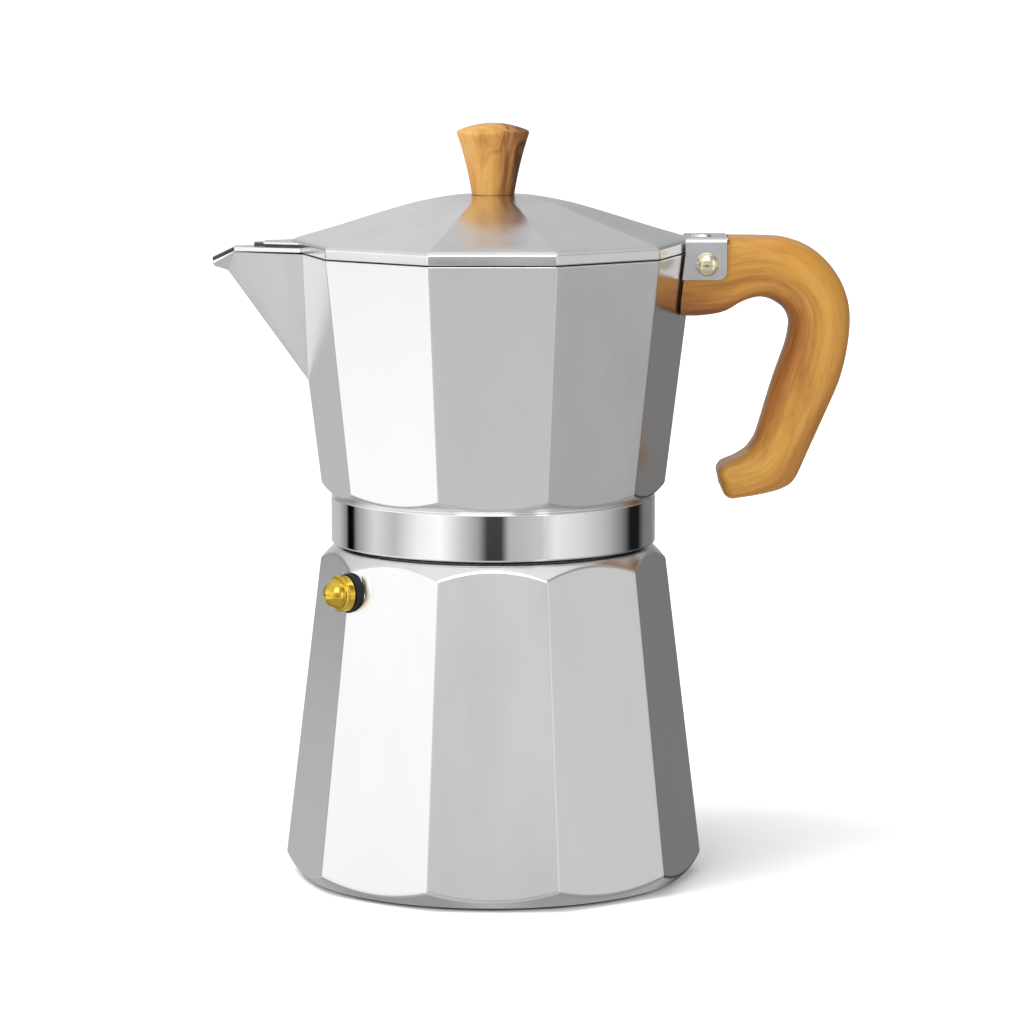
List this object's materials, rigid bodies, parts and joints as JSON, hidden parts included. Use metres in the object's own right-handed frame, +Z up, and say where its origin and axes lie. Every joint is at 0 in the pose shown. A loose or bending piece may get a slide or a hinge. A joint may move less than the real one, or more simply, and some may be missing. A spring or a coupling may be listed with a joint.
{
  "type": "moka pot",
  "caption": "Ten-sided polished aluminium stovetop coffee pot: boiler, filter funnel, screw-on spouted collector, hinged lid, wooden handle and knob, brass safety valve.",
  "frame": {"origin": "middle of the base's flat underside, on the pot's axis", "axes": "+Z up, +X towards the handle, -X towards the spout, -Y towards the side with the safety valve"},
  "size_m": [0.1618, 0.1022, 0.1929],
  "materials": {
    "polished_aluminium": "polished, softly blurred reflections, mirror-bright turned skirt",
    "cast_aluminium": "machined cast aluminium, satin",
    "sheet_aluminium": "spun and pressed sheet, satin",
    "steel": "bright stainless",
    "brass": "polished yellow brass",
    "pale_brass": "polished pale brass",
    "black_rubber": "smooth, matt",
    "white_rubber": "smooth food-grade rubber",
    "handle_wood": "polished honey-brown wood with fine grain",
    "knob_wood": "waxed, strongly figured light wood"
  },
  "bodies": {
    "boiler": {"boiler": "polished_aluminium", "funnel_cup": "sheet_aluminium", "funnel_stem": "sheet_aluminium", "funnel_grid": "sheet_aluminium", "valve_seal": "black_rubber", "valve_body": "brass", "valve_nut": "brass", "valve_spring": "steel", "valve_cap": "brass"},
    "valve_poppet": {"valve_poppet": "steel"},
    "gasket_stack": {"gasket": "white_rubber", "filter_plate": "sheet_aluminium"},
    "collector": {"collector": "polished_aluminium", "riser_column": "cast_aluminium", "riser_cap": "cast_aluminium", "spout": "polished_aluminium", "saddle_bracket": "steel", "hinge_pin": "steel", "handle": "handle_wood", "handle_rivet": "pale_brass"},
    "lid": {"lid": "polished_aluminium", "spout_cover": "polished_aluminium", "knob_washer": "steel", "knob_screw": "steel", "lid_knob": "knob_wood"}
  },
  "joints": [
    {"name": "valve_lift", "type": "slide", "parent": "boiler", "child": "valve_poppet", "axis": [-0.809, -0.5878, 0], "range_m": [0, 0.0015], "stiffness_N_per_m": 400, "springref_m": -0.0008, "deforming": ["valve_spring"]},
    {"name": "collector_rise", "type": "slide", "parent": "boiler", "child": "gasket_stack", "axis": [0, 0, 1], "range_m": [0, 0.0141]},
    {"name": "collector_turn", "type": "hinge", "parent": "gasket_stack", "child": "collector", "pos_m": [0, 0, 0.1], "axis": [0, 0, 1], "range_deg": [0, 1440]},
    {"name": "lid_hinge", "type": "hinge", "parent": "collector", "child": "lid", "pos_m": [0.0534, 0, 0.1627], "axis": [0, 1, 0], "range_deg": [0, 100]}
  ],
  "couplings": [
    {"joint": "collector_rise", "follows": "collector_turn", "m_per_rad": 0.00055704}
  ]
}
